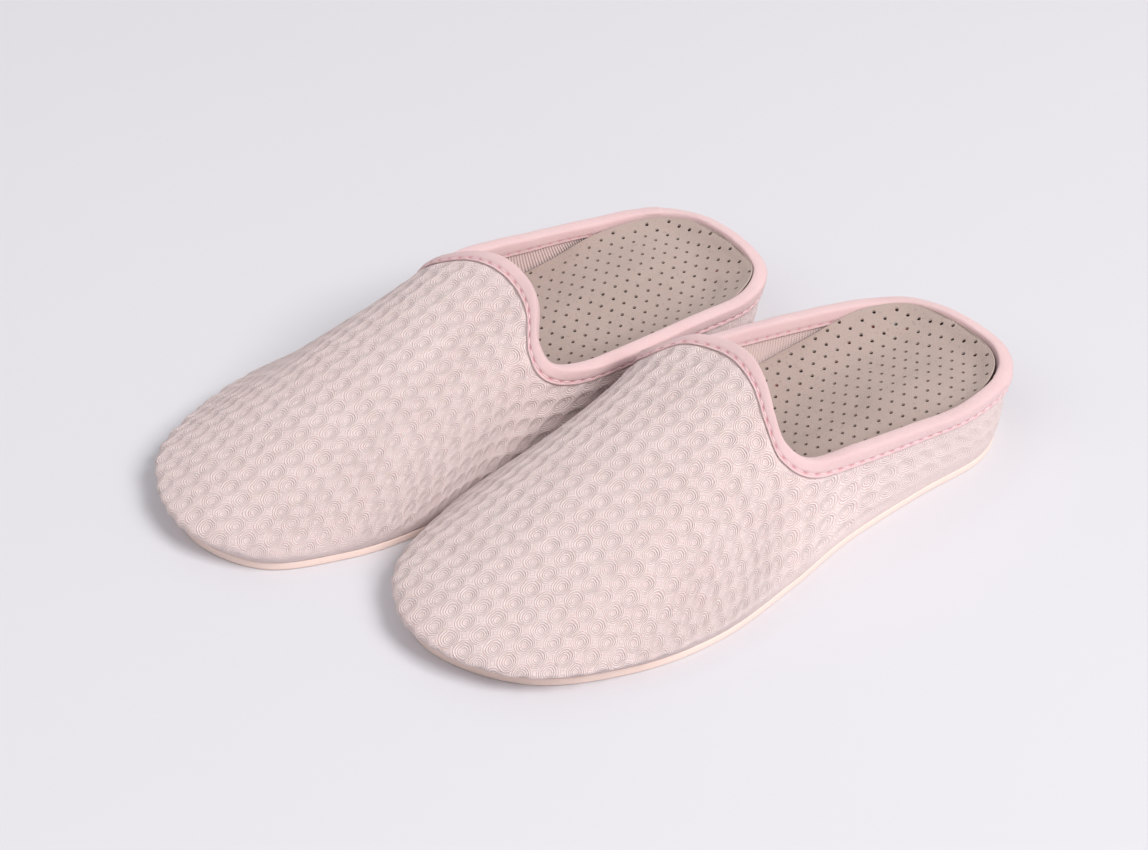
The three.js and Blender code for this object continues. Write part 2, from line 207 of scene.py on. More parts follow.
class Skin:
    # outer face of the upper, read at any number of stations round the slipper
    fine = 161
    wallSteps = 5
    bindingStrip = 6
    shoulderLean = 0.5

    def __init__(self, stations):
        self.stations = stations
        self.turn = np.arange(stations) / stations
        base, lower, upper, top = (closedCurve(ring, self.turn)[:, None] for ring in handleRings())
        v = np.linspace(0, 1, self.fine)[None, :, None]
        w = 1 - v
        self.section = w**3 * base + 3 * w**2 * v * lower + 3 * w * v**2 * upper + v**3 * top
        steps = np.linalg.norm(np.diff(self.section, axis=1), axis=-1)
        self.run = np.concatenate([np.zeros((stations, 1)), np.cumsum(steps, axis=1)], axis=1)
        self.length = self.run[:, -1]
        self.base = base[:, 0]
        self.rim = top[:, 0]
        self.vamp = np.clip(closedCurve(vampShare, self.turn), 0, 1)
        along = unit(np.roll(self.base, -1, 0) - np.roll(self.base, 1, 0))
        self.outward = np.column_stack([along[:, 1], -along[:, 0]])
        self.directions()

    def crossing(self, height):
        # way up the section at which it first reaches a height
        height = np.broadcast_to(height, self.stations)
        after = np.argmax(self.section[:, :, 2] >= height[:, None], axis=1)
        row = np.arange(self.stations)
        low, high = self.section[row, after - 1, 2], self.section[row, after, 2]
        return mix(self.run[row, after - 1], self.run[row, after], (height - low) / (high - low))

    def directions(self):
        # the layers are offset level up to the foot of the lining, and square to the skin above it
        low = self.crossing(midsoleBottom)
        foot = self.crossing(boardTop(self.base[:, 1]) + slipper["gap"])
        edge = self.length - np.minimum(self.bindingStrip, 0.9 * (self.length - foot))
        places = [np.zeros(self.stations), low, (low + foot) / 2, foot]
        places += [mix(foot, edge, step / self.wallSteps) for step in range(1, self.wallSteps + 1)]
        self.places = np.column_stack([*places, self.length])
        points = self.at(self.places)
        around = np.roll(points, -1, 0) - np.roll(points, 1, 0)
        padded = np.concatenate([points[:, :1], points, points[:, -1:]], 1)
        up = padded[:, 2:] - padded[:, :-2]
        normal = unit(np.cross(around, up))
        normal[:, :4, 2] = 0
        normal[:, 4, 2] *= self.shoulderLean
        self.placeNormals = unit(normal)
        self.foot = foot

    def at(self, ways):
        # points at ways up each section, in millimetres from the sole edge
        out = np.empty((*ways.shape, 3))
        for i in range(self.stations):
            for axis in range(3):
                out[i, :, axis] = np.interp(ways[i], self.run[i], self.section[i, :, axis])
        return out

    def normalAt(self, ways):
        out = np.empty((*ways.shape, 3))
        for i in range(self.stations):
            for axis in range(3):
                out[i, :, axis] = np.interp(ways[i], self.places[i], self.placeNormals[i, :, axis])
        return unit(out)

    def layer(self, ways, depth):
        return self.at(ways) - self.normalAt(ways) * np.broadcast_to(depth, ways.shape)[..., None]

    def ways(self, low, high, steps):
        low, high = (np.broadcast_to(value, self.stations)[:, None] for value in (low, high))
        return mix(low, high, np.linspace(0, 1, steps)[None])

    def ring(self, depth, heightOf):
        # ring at a depth inside the skin, at a height that depends on s
        line = self.layer(self.ways(0, self.length, 90), depth)
        out = np.empty((self.stations, 3))
        for i in range(self.stations):
            points = line[i]
            height = float(heightOf(points[20, 1]))
            reached = points[:, 2] >= height
            after = max(1, int(np.argmax(reached))) if reached.any() else len(points) - 1
            low, high = points[after - 1], points[after]
            part = min(max((height - low[2]) / max(high[2] - low[2], 1e-6), 0), 1)
            out[i] = low + (high - low) * part
            out[i, 2] = height
        return out


def toRow(points, sign):
    # from a slipper's own millimetres to the pair's metres
    points = np.asarray(points, float)
    x = points[..., 0] * sign
    y = slipper["length"] / 2 - points[..., 1]
    angle = math.radians(slipper["toeOut"]) * sign
    across = math.cos(angle) * x - math.sin(angle) * y + sign * slipper["spacing"] / 2
    forward = math.sin(angle) * x + math.cos(angle) * y + sign * slipper["stagger"] / 2
    return np.stack([across, forward, points[..., 2]], -1) / 1000 + pairShift


# The frame is centred on the pair's outline, which the outsole's corners give back
pairShift = np.zeros(3)
outsoleCorners = Skin(32).ring(0, lambda s: marginBottom)
for side, sign in sides.items():
    wanted = np.add(*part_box(side + "_outsole"))[:2]
    corners = toRow(outsoleCorners, sign)[:, :2]
    pairShift[:2] += (wanted - corners.min(0) - corners.max(0)) / 4
print("pair shift in mm", np.round(pairShift * 1000, 3))


def meshObject(name, points, faces, corners=None, smooth=True):
    # faces is an array of triangles or quads; corners holds the uv of each face corner
    points = np.asarray(points, float)
    faces = np.asarray(faces, int)
    volume = 0
    for k in range(1, faces.shape[1] - 1):
        a, b, c = points[faces[:, 0]], points[faces[:, k]], points[faces[:, k + 1]]
        volume += np.einsum("ij,ij->i", a, np.cross(b, c)).sum()
    if volume < 0:
        faces = faces[:, ::-1]
        corners = corners[:, ::-1] if corners is not None else None
    mesh = bpy.data.meshes.new(name)
    mesh.vertices.add(len(points))
    mesh.vertices.foreach_set("co", points.ravel())
    size = faces.shape[1]
    mesh.loops.add(faces.size)
    mesh.loops.foreach_set("vertex_index", faces.ravel())
    mesh.polygons.add(len(faces))
    mesh.polygons.foreach_set("loop_start", np.arange(len(faces)) * size)
    mesh.polygons.foreach_set("use_smooth", np.full(len(faces), smooth))
    if corners is not None:
        mesh.uv_layers.new(name="cloth").data.foreach_set("uv", np.asarray(corners, float).ravel())
    mesh.update(calc_edges=True)
    mesh.validate()
    piece = bpy.data.objects.new(name, mesh)
    bpy.context.scene.collection.objects.link(piece)
    return piece


def bandMesh(name, profiles, sign, uv=None):
    # closed band: one closed profile at each station, joined all the way round
    stations, size = profiles.shape[:2]
    i = np.arange(stations)[:, None]
    j = np.arange(size)[None]
    here, beyond = i * size, (i + 1) % stations * size
    nextJ = (j + 1) % size
    faces = np.stack([here + j, here + nextJ, beyond + nextJ, beyond + j], -1).reshape(-1, 4)
    corners = None
    if uv is not None:
        lastJ = np.minimum(j + 1, size - 1)
        corners = np.stack([uv[i, j], uv[i, lastJ], uv[i + 1, lastJ], uv[i + 1, j]], 2).reshape(-1, 4, 2)
    return meshObject(name, toRow(profiles, sign).reshape(-1, 3), faces, corners)


def fromOutline(points, outline):
    # way in from the outline, seen from above
    flat = points[..., None, :2] - outline[:, :2]
    return np.sqrt((flat**2).sum(-1).min(-1))


def stackPoints(rings, across, below=None, above=None):
    # solid between stacked rings, with rows laid across from side to side below and above;
    # below and above say how far the rows drop, by x, s and the way in from the edge
    stations = len(rings[0])
    points = [np.concatenate(rings)]
    faces = []
    for r in range(len(rings) - 1):
        a = r * stations + np.arange(stations)
        b = r * stations + (np.arange(stations) + 1) % stations
        faces.append(np.stack([a, b, b + stations, a + stations], -1))
    total = len(points[0])
    half = stations // 2
    for ring, drop, flip in ((0, below, True), (len(rings) - 1, above, False)):
        edge = rings[ring]
        share = np.linspace(0, 1, across + 1)[None, 1:-1, None]
        near, far = edge[1:half], edge[:half:-1]
        inner = near[:, None] * (1 - share) + far[:, None] * share
        if drop is not None:
            inner[..., 2] -= drop(inner[..., 0], inner[..., 1], fromOutline(inner, edge))
        points.append(inner.reshape(-1, 3))
        index = np.empty((half + 1, across + 1), int)
        index[1:half, 1:-1] = total + np.arange((half - 1) * (across - 1)).reshape(half - 1, across - 1)
        total += (half - 1) * (across - 1)
        index[1:half, 0] = ring * stations + np.arange(1, half)
        index[1:half, -1] = ring * stations + np.arange(stations - 1, half, -1)
        index[0], index[half] = ring * stations, ring * stations + half
        quads = np.stack([index[:-1, :-1], index[:-1, 1:], index[1:, 1:], index[1:, :-1]], -1).reshape(-1, 4)
        faces.append(quads[:, ::-1] if flip else quads)
    return np.concatenate(points), np.concatenate(faces)


def triangulated(quads):
    # where the rows end in a point, a quad has lost a corner, so all are cut into triangles
    triangles = np.concatenate([quads[:, [0, 1, 2]], quads[:, [0, 2, 3]]])
    a, b, c = triangles.T
    return triangles[(a != b) & (b != c) & (a != c)]


def tidyNormals(piece):
    shape = bmesh.new()
    shape.from_mesh(piece.data)
    bmesh.ops.recalc_face_normals(shape, faces=shape.faces)
    shape.to_mesh(piece.data)
    shape.free()


def addAttribute(piece, name, values):
    piece.data.attributes.new(name, "FLOAT", "POINT").data.foreach_set("value", values.ravel())


def stackMesh(name, rings, across, sign, outline=None, **drops):
    # with an outline, each point also gets its way in from it, in metres
    points, quads = stackPoints(rings, across, **drops)
    piece = meshObject(name, toRow(points, sign), triangulated(quads))
    tidyNormals(piece)
    if outline is not None:
        addAttribute(piece, "edgeDistance", fromOutline(points, outline) / 1000)
    return piece


class Socket:
    # a node's output on which Python's operators add Math nodes
    def __init__(self, tree, link):
        self.tree, self.link = tree, link

    def math(self, operation, *values):
        return self.tree.node("ShaderNodeMath", {"operation": operation}, *values)

    def __add__(self, other):
        return self.math("ADD", self, other)

    def __sub__(self, other):
        return self.math("SUBTRACT", self, other)

    def __rsub__(self, other):
        return self.math("SUBTRACT", other, self)

    def __mul__(self, other):
        return self.math("MULTIPLY", self, other)

    def __truediv__(self, other):
        return self.math("DIVIDE", self, other)

    def __rtruediv__(self, other):
        return self.math("DIVIDE", other, self)

    def __mod__(self, other):
        return self.math("MODULO", self, other)

    def __rmod__(self, other):
        return self.math("MODULO", other, self)

    def __pow__(self, other):
        return self.math("POWER", self, other)

    def __rpow__(self, other):
        return self.math("POWER", other, self)

    def __gt__(self, other):
        return self.math("GREATER_THAN", self, other)

    def __lt__(self, other):
        return self.math("LESS_THAN", self, other)

    def __abs__(self):
        return self.math("ABSOLUTE", self)

    __radd__ = __add__
    __rmul__ = __mul__

    def sine(self):
        return self.math("SINE", self)

    def wave(self):
        # a sine wave from 0 to 1, with one crest for each whole number
        return (self * (2 * math.pi)).sine() * 0.5 + 0.5

    def fraction(self):
        return self.math("FRACT", self)

    def rounded(self):
        return self.math("ROUND", self)

    def above(self, low, high):
        # 0 below low, 1 above high, smooth between
        settings = {"interpolation_type": "SMOOTHSTEP", "clamp": True}
        return self.tree.node("ShaderNodeMapRange", settings, self, low, high, 0, 1)

    def beside(self, output):
        # another output of the same node
        return Socket(self.tree, self.link.node.outputs[output])


class Tree:
    # a node tree in which one method makes every node
    def __init__(self, group):
        self.nodes, self.links = group.nodes, group.links

    def node(self, kind, settings, *values, output=0, **named):
        made = self.nodes.new(kind)
        for setting, value in settings.items():
            setattr(made, setting, value)
        sockets = [(made.inputs[k], value) for k, value in enumerate(values)]
        for key, value in named.items():
            socket = next(s for s in made.inputs if s.enabled and s.name.replace(" ", "") == key)
            sockets.append((socket, value))
        for socket, value in sockets:
            if isinstance(value, Socket):
                self.links.new(value.link, socket)
            elif value is not None:
                socket.default_value = value
        return Socket(self, made.outputs[output])

    def parts(self, vector):
        return [self.node("ShaderNodeSeparateXYZ", {}, vector, output=k) for k in range(3)]

    def vector(self, x=0.0, y=0.0, z=0.0):
        return self.node("ShaderNodeCombineXYZ", {}, x, y, z)


class Finish(Tree):
    # a material made of nodes, with a principled shader at its end
    def __init__(self, name, roughness, bumpHeight=0.0003, **constants):
        self.material = bpy.data.materials.new(name)
        self.material.use_nodes = True
        super().__init__(self.material.node_tree)
        self.shader = self.nodes["Principled BSDF"]
        self.shader.inputs["Roughness"].default_value = roughness
        self.bumpHeight = bumpHeight
        for socket, value in constants.items():
            self.shader.inputs[socket.replace("_", " ")].default_value = value

    def objectPlace(self):
        return self.node("ShaderNodeTexCoord", {}, output=3)

    def cloth(self):
        # the piece's own uv, as two values
        return self.parts(self.node("ShaderNodeUVMap", {"uv_map": "cloth"}))[:2]

    def attribute(self, name):
        return self.node("ShaderNodeAttribute", {"attribute_name": name}, output=2)

    def noise(self, place, scale, detail=3, roughness=0.5):
        values = {"Scale": scale, "Detail": detail, "Roughness": roughness}
        return self.node("ShaderNodeTexNoise", {}, Vector=place, **values)

    def cells(self, place, scale, output=0):
        return self.node("ShaderNodeTexVoronoi", {"feature": "F1"}, Vector=place, Scale=scale, output=output)

    def blend(self, share, low, high):
        # a color mix, whose own sockets come after those for numbers and vectors
        return self.node("ShaderNodeMix", {"data_type": "RGBA"}, share, *[None] * 5, low, high, output=2)

    def finish(self, color, height=None, roughness=None):
        self.links.new(color.link, self.shader.inputs["Base Color"])
        if roughness is not None:
            self.links.new(roughness.link, self.shader.inputs["Roughness"])
        if height is not None:
            bump = self.node("ShaderNodeBump", {}, 1.0, self.bumpHeight, Height=height)
            self.links.new(bump.link, self.shader.inputs["Normal"])
        return self.material


def linear(level):
    share = level / 255
    return ((share + 0.055) / 1.055) ** 2.4 if share > 0.04 else share / 12.92


def tint(red, green, blue):
    # a shade as seen on screen, from 0 to 255, made linear
    return (linear(red), linear(green), linear(blue), 1)


waffle = {
    "cellAcross": 7.9,
    "cellAlong": 8.4,
    "rise": 1.0,
    "roundness": 2.4,
    "sharpness": 1.7,
    "restLevel": 0.45,
    "threads": 4.8,
    "twists": 21,
    "wander": 0.16,
    "fray": 0.09,
    "bump": 0.00045,
    "light": (255, 243, 241),
    "dark": (226, 185, 183),
    "warm": (236, 214, 192),
}


def waffleFinish():
    sheen = {"Sheen_Weight": 0.35, "Sheen_Roughness": 0.5}
    finish = Finish("pale_pink_waffle", 0.92, waffle["bump"], Specular_IOR_Level=0.25, **sheen)
    u, v = finish.cloth()
    place = finish.objectPlace()
    stray = (finish.noise(place, 160, 2) - 0.5) * waffle["wander"]
    across = abs((u + stray).fraction() - 0.5) * 2
    along = abs((v + stray).fraction() - 0.5) * 2
    power = waffle["roundness"]
    outward = (across**power + along**power) ** (1 / power) + finish.noise(place, 900, 2) * waffle["fray"]
    thread = (outward * waffle["threads"]).wave()
    # the threads show on the walls of the pits, less where the cloth is pulled flat
    wall = outward.above(0.1, 0.4) * (1 - outward.above(0.9, 1.15) * 0.6) * finish.attribute("relief")
    wall = wall * (finish.noise(place, 260, 2).above(0.3, 0.62) * 0.3 + 0.7)
    # the yarns' own twist runs across the threads
    twists = 2 * math.pi * waffle["twists"]
    twist = ((u + v) * twists).sine() * ((u - v) * twists).sine() * 0.5 + 0.5
    height = thread * (wall * 0.9 + 0.1) + twist * 0.25 + finish.noise(place, 2600, 2) * 0.45
    blotch, mottle = finish.noise(place, 45), finish.noise(place, 1100, 2)
    # painted shade between the threads and between the yarn's twists, and painted highlight on the threads'
    # crests on the pit walls; blotch and mottle are the cloth's own uneven tone
    dark = (1 - thread) * (wall * 0.9 + 0.08) - wall * 0.47 + (1 - twist) * 0.14
    dark = dark + blotch * 0.26 + mottle * 0.36
    color = finish.blend(dark, tint(*waffle["light"]), tint(*waffle["dark"]))
    warm = finish.noise(place, 420, 2).above(0.55, 0.75)
    return finish.finish(finish.blend(warm * 0.2, color, tint(*waffle["warm"])), height)


def bindingFinish():
    sheen = {"Sheen_Weight": 0.3, "Sheen_Roughness": 0.4}
    finish = Finish("smooth_pink_tape", 0.62, 0.0001, Specular_IOR_Level=0.35, **sheen)
    u, v = finish.cloth()
    place = finish.objectPlace()
    yarns = 2 * math.pi * 3.2
    weave = ((u + v) * yarns).sine() * ((u - v) * yarns).sine() * 0.5 + 0.5
    height = weave * 0.6 + finish.noise(place, 900) * 0.5
    blotch = finish.noise(place, 60)
    # painted shade in the grooves between the weave's yarns; the blotches are the tape's own uneven tone
    color = finish.blend(blotch * 0.5 + (1 - weave) * 0.12, tint(235, 205, 205), tint(225, 182, 186))
    # painted shade in the holes that the needle leaves: the tape is darkened there
    return finish.finish(finish.blend(finish.attribute("needle") * 0.8, color, tint(214, 122, 138)), height)


def threadFinish():
    finish = Finish("pink_thread", 0.55, 0.00006, Sheen_Weight=0.3)
    x, y, z = finish.parts(finish.objectPlace())
    twist = ((x + y + z) * 14000).sine() * 0.5 + 0.5
    return finish.finish(finish.blend(twist * 0.6, tint(250, 218, 221), tint(236, 182, 190)), twist)


def insoleFinish():
    sheen = {"Sheen_Weight": 0.2, "Sheen_Roughness": 0.6}
    finish = Finish("greige_sock_cloth", 0.95, 0.00012, Specular_IOR_Level=0.2, **sheen)
    place = finish.objectPlace()
    x, y = finish.parts(place)[:2]
    nap = finish.noise(place, 1500, 3, 0.7)
    weave = (x * 5200).sine() * (y * 5200).sine() * 0.5 + 0.5
    blotch = finish.noise(place, 38, 4)
    speck = finish.noise(place, 700, 2).above(0.6, 0.74)
    color = finish.blend(blotch * 0.45 + nap * 0.4, tint(188, 169, 161), tint(153, 135, 127))
    return finish.finish(finish.blend(speck * 0.35, color, tint(128, 112, 106)), weave * 0.4 + nap * 0.8)


# share of the crumbs at which each colour starts, and the colour
crumbShades = {0.93: (196, 62, 62), 0.86: (40, 118, 112), 0.80: (58, 62, 132)}


def footbedFinish():
    # rebonded foam: charcoal with a few coloured crumbs, which show through the holes
    finish = Finish("flecked_rebond_foam", 0.9, 0.0003)
    place = finish.objectPlace()
    red, green, blue = finish.parts(finish.cells(place, 330, output=1))
    color = finish.blend(blue, tint(38, 34, 36), tint(78, 66, 64))
    for start, shade in crumbShades.items():
        chosen = red.above(start, start + 0.02) * (1 - red.above(start + 0.065, start + 0.07))
        color = finish.blend(chosen, color, tint(*shade))
    color = finish.blend(green.above(0.93, 0.94), color, tint(172, 160, 120))
    return finish.finish(color, finish.noise(place, 900))


def liningFinish():
    finish = Finish("ribbed_knit", 0.95, 0.0004, Sheen_Weight=0.3, Sheen_Roughness=0.5)
    u, v = finish.cloth()
    place = finish.objectPlace()
    rib = (u + finish.noise(place, 60) * 0.6).wave()
    course = (v * 1.4).wave()
    nap = finish.noise(place, 1800, 2)
    # painted shade in the grooves between the ribs; the nap is the knit's own fine tone
    color = finish.blend((1 - rib) * 0.5 + nap * 0.35, tint(238, 214, 210), tint(208, 176, 172))
    return finish.finish(color, rib * 0.8 + course * rib * 0.3 + nap * 0.3)


def outsoleFinish():
    finish = Finish("cream_rubber", 0.6, 0.00012, Specular_IOR_Level=0.4)
    place = finish.objectPlace()
    grain = finish.noise(place, 1100, 4, 0.6)
    blotch = finish.noise(place, 30)
    color = finish.blend(blotch * 0.6 + grain * 0.2, tint(246, 225, 215), tint(234, 206, 196))
    return finish.finish(color, grain, roughness=grain * 0.25 + 0.5)


def foamFinish(name, light, dark, poreScale):
    finish = Finish(name, 0.9, 0.0003)
    place = finish.objectPlace()
    pores = finish.cells(place, poreScale)
    blotch = finish.noise(place, 40)
    return finish.finish(finish.blend(blotch * 0.5 + pores * 0.5, tint(*light), tint(*dark)), pores)


def fibreFinish(name, light, dark, stretch):
    finish = Finish(name, 0.95, 0.0002)
    x, y, z = finish.parts(finish.objectPlace())
    fibres = finish.noise(finish.vector(x * stretch, y, z * stretch), 500, 5, 0.7)
    return finish.finish(finish.blend(fibres, tint(*light), tint(*dark)), fibres)


finishes = {
    "waffle": waffleFinish(),
    "binding": bindingFinish(),
    "thread": threadFinish(),
    "insole": insoleFinish(),
    "footbed": footbedFinish(),
    "lining": liningFinish(),
    "outsole": outsoleFinish(),
    "midsole": foamFinish("closed_cell_foam", (246, 243, 236), (226, 221, 210), 1400),
    "interlining": foamFinish("open_cell_foam", (243, 240, 230), (222, 216, 202), 900),
    "board": fibreFinish("cellulose_board", (208, 188, 150), (172, 148, 108), 1.0),
    "filler": fibreFinish("pressed_felt", (196, 182, 158), (158, 142, 116), 1.0),
    "stiffener": fibreFinish("impregnated_fleece", (232, 225, 212), (206, 196, 178), 0.4),
}
print("materials made")


def adopt(piece, side, node, finish):
    # the piece rides with its slipper and stands for its CAD node
    piece.data.materials.clear()
    piece.data.materials.append(finishes[finish])
    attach(piece, side + "_slipper")
    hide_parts(side + "_" + node)
    return piece


# Where the cloth stops lying flat over the vamp, and between which places it starts to be
# unrolled along the sides
clothLay = {"vampEnd": 95, "unrolledTo": 105, "flatFrom": 140}


def clothMap(skin, ways):
    # where each point lies on the cloth, in millimetres: the cloth hangs from the rim, flat over
    # the vamp, and is unrolled along the sides to a seam at the back of the heel
    rows = skin.stations + 1
    wrap = np.arange(rows) % skin.stations
    top = skin.rim[wrap, :2].copy()
    toBase = unit(skin.base[wrap, :2] - top)
    share = skin.vamp[wrap][:, None]
    way = unit(skin.outward[wrap] * (1 - share) + toBase * share)
    step = np.linalg.norm(np.diff(skin.rim[wrap], axis=0), axis=-1)
    first = int(np.argmax(top[:, 1] >= clothLay["vampEnd"]))
    last = rows - 1 - int(np.argmax(top[::-1, 1] >= clothLay["vampEnd"]))
    away = np.zeros_like(way)
    away[:, 0] = np.where(np.arange(rows) < rows // 2, 1, -1)
    level = smoothStep(clothLay["unrolledTo"], clothLay["flatFrom"], skin.base[wrap, 1])[:, None]
    for i in range(first - 1, -1, -1):
        top[i] = (top[first, 0], top[i + 1, 1] - step[i])
        level[i] = 0
    for i in range(last + 1, rows):
        top[i] = (top[last, 0], top[i - 1, 1] - step[i - 1])
        level[i] = 0
    way = unit(away * (1 - level) + way * level)
    hang = skin.length[wrap][:, None] - ways[wrap]
    return top[:, None] + way[:, None] * hang[..., None]


# A pair is where the relief starts and where it is whole, in millimetres
upper = {
    "stations": 740,
    "steps": 118,
    "innerSteps": 12,
    "fromHeelSeam": (0.3, 9.0),
    "fromSole": (0.5, 11),
    "fromRim": (5.5, 8.5),
    "heelToVamp": (30, 110),
    "heelRelief": 0.45,
    "seamDepth": 0.5,
    "seamWidth": 1.2,
    "overlap": 0.22,
}


def padGive(x, s):
    # the padding under the cloth gives slightly, in broad soft waves
    return 0.2 * np.sin(s * 0.061 + 0.8) * np.sin(x * 0.083 + 1.1) + 0.1 * np.sin(s * 0.13 + x * 0.11)


def waffleUpper(side, sign):
    skin = Skin(upper["stations"])
    ways = skin.ways(0, skin.length, upper["steps"])
    points = skin.at(ways)
    around = np.roll(points, -1, 0) - np.roll(points, 1, 0)
    normal = unit(np.cross(around, np.gradient(points, axis=1)))
    cloth = clothMap(skin, ways)
    cell = (waffle["cellAcross"], waffle["cellAlong"])
    places = cloth[:-1] / cell
    # every cell is a pit with rounded corners between raised ridges
    aside = 2 * np.abs(places - np.floor(places) - 0.5)
    outward = np.clip((aside ** waffle["roundness"]).sum(-1) ** (1 / waffle["roundness"]), 0, 1)
    ridge = outward ** waffle["sharpness"]
    run = np.concatenate([[0], np.cumsum(np.linalg.norm(np.diff(skin.base, axis=0), axis=-1))])
    fromSeam = np.minimum(run, run[-1] - run)[:, None]
    relief = smoothStep(*upper["fromHeelSeam"], fromSeam) * smoothStep(*upper["fromSole"], ways)
    relief = relief * smoothStep(*upper["fromRim"], skin.length[:, None] - ways)
    relief = relief * mix(upper["heelRelief"], 1, smoothStep(*upper["heelToVamp"], points[..., 1]))
    seam = upper["seamDepth"] * (1 - smoothStep(0, upper["seamWidth"], fromSeam)) * (ways > 0.5)
    weave = waffle["rise"] * (ridge - waffle["restLevel"])
    out = (weave + padGive(points[..., 0], points[..., 1])) * relief - seam
    outer = points + normal * out[..., None]
    outer[:, 0, 2] -= upper["overlap"]
    inWays = skin.ways(skin.length, skin.crossing(marginTop + 1), upper["innerSteps"])
    inner = skin.layer(inWays, layers["fabric"])
    wallFoot = skin.ring(layers["fabric"], lambda s: marginTop)
    marginEdge = skin.ring(layers["fabric"] + layers["margin"], lambda s: marginBottom)
    marginRoof = marginEdge.copy()
    marginRoof[:, 2] = marginTop
    profiles = np.concatenate([outer, inner, wallFoot[:, None], marginRoof[:, None], marginEdge[:, None]], 1)
    uv = np.concatenate([cloth, clothMap(skin, inWays), cloth[:, :1], cloth[:, :1], cloth[:, :1]], 1) / cell
    piece = bandMesh(side + "_waffle_upper", profiles, sign, uv)
    strength = np.zeros(profiles.shape[:2])
    strength[:, :upper["steps"]] = relief
    addAttribute(piece, "relief", strength)
    return adopt(piece, side, "upper_outer", "waffle")


binding = {
    "stations": 800,
    "depth": 6.0,
    "stitchDrop": 4.7,
    "stitchPitch": 5.2,
    "pressWidth": 0.55,
    "outerDepth": -0.9,
    "puff": 0.25,
    "pucker": 0.3,
    "crown": 1.1,
    "faceRows": 16,
    "crownRows": 14,
    "innerRows": 10,
    "joinPlace": 0.095,
    "joinLength": 9.0,
    "joinRise": 0.4,
}


def stitchRun(skin):
    # length along the stitch line to each station, the whole of it, and the number of stitches
    line = skin.layer(skin.length[:, None] - binding["stitchDrop"], binding["outerDepth"])[:, 0]
    steps = np.linalg.norm(np.roll(line, -1, 0) - line, axis=-1)
    run = np.concatenate([[0], np.cumsum(steps)])
    return run[:-1], run[-1], round(run[-1] / binding["stitchPitch"])


def bindingRows(run, whole, phase):
    # the tape's section as rows of (depth in the skin, height over the rim), all the way round
    depth, stitch = binding["depth"], binding["stitchDrop"]
    outer, inner = binding["outerDepth"], tapeInnerDepth
    nip = 0.5 + 0.5 * np.cos(2 * np.pi * phase)
    start = binding["joinPlace"] * whole
    end = start + binding["joinLength"]
    lap = smoothStep(start, start + 0.5, run) * (1 - smoothStep(end - 2, end, run))
    rows = []

    def add(depthIn, lift):
        rows.append([np.broadcast_to(value, len(run)).astype(float) for value in (depthIn, lift)])

    # outer face, from the folded edge up over the stitch line to the crown
    add(-0.3, -depth)
    add(outer + 0.1 - lap * 0.3, -depth - 0.12)
    for drop in np.linspace(depth - 0.15, 0.6, binding["faceRows"]):
        pressed = np.exp(-(((drop - stitch) / binding["pressWidth"]) ** 2))
        puffed = np.sin(np.pi * np.clip((stitch - drop) / stitch, 0, 1)) * binding["puff"]
        edgeLift = smoothStep(stitch, depth, drop) * 0.12 * np.sin(phase * 4.1)
        raised = puffed + edgeLift + lap * binding["joinRise"]
        add(outer - raised + pressed * (0.3 + binding["pucker"] * nip), -drop)
    middle, reach = (outer + inner) / 2, (inner - outer) / 2
    for turn in np.linspace(0.03, 0.97, binding["crownRows"]) * math.pi:
        swell = 1 + lap * binding["joinRise"] / reach * 0.6
        wave = 0.1 * np.sin(phase * 1.7 + 1) + 0.06 * np.sin(phase * 0.61)
        height = math.sin(turn) ** 0.8 * (binding["crown"] + wave + lap * 0.3)
        add(middle - math.cos(turn) * reach * swell, height - 0.3)
    for drop in np.linspace(0.8, depth - 0.3, binding["innerRows"]):
        pressed = np.exp(-(((drop - stitch) / binding["pressWidth"]) ** 2))
        add(inner + 0.15 * math.sin(math.pi * drop / depth) - pressed * (0.2 + 0.2 * nip), -drop)
    # and back along the rim, under the tape
    add(inner - 0.05, -depth)
    add(inner - layers["tape"], -depth)
    add(inner - layers["tape"], 0.25)
    add(-0.3, 0.25)
    return rows


def rolledBinding(side, sign):
    skin = Skin(binding["stations"])
    run, whole, count = stitchRun(skin)
    phase = run / whole * count
    rows = bindingRows(run, whole, phase)
    rimUp = unit(skin.section[:, -1] - skin.section[:, -4])
    profiles = np.empty((skin.stations, len(rows), 3))
    for k, (depthIn, lift) in enumerate(rows):
        low = skin.layer((skin.length + np.minimum(lift, 0))[:, None], depthIn[:, None])[:, 0]
        profiles[:, k] = low + rimUp * np.maximum(lift, 0)[:, None]
    across = np.linspace(0, 3 * binding["depth"], len(rows))
    along = np.concatenate([run, [whole]])
    uv = np.stack(np.broadcast_arrays(along[:, None], across[None]), -1)
    piece = bandMesh(side + "_rolled_binding", profiles, sign, uv)
    drops = np.array([-lift[0] for _, lift in rows])
    # how much painted shade the tape gets at each needle hole, along the stitch line
    onFace = np.exp(-(((drops - binding["stitchDrop"]) / 0.5) ** 2))[None]
    fromHole = np.minimum(phase % 1, 1 - phase % 1) * whole / count
    addAttribute(piece, "needle", onFace * np.exp(-((fromHole / 0.75) ** 2))[:, None])
    return adopt(piece, side, "topline_binding", "binding")


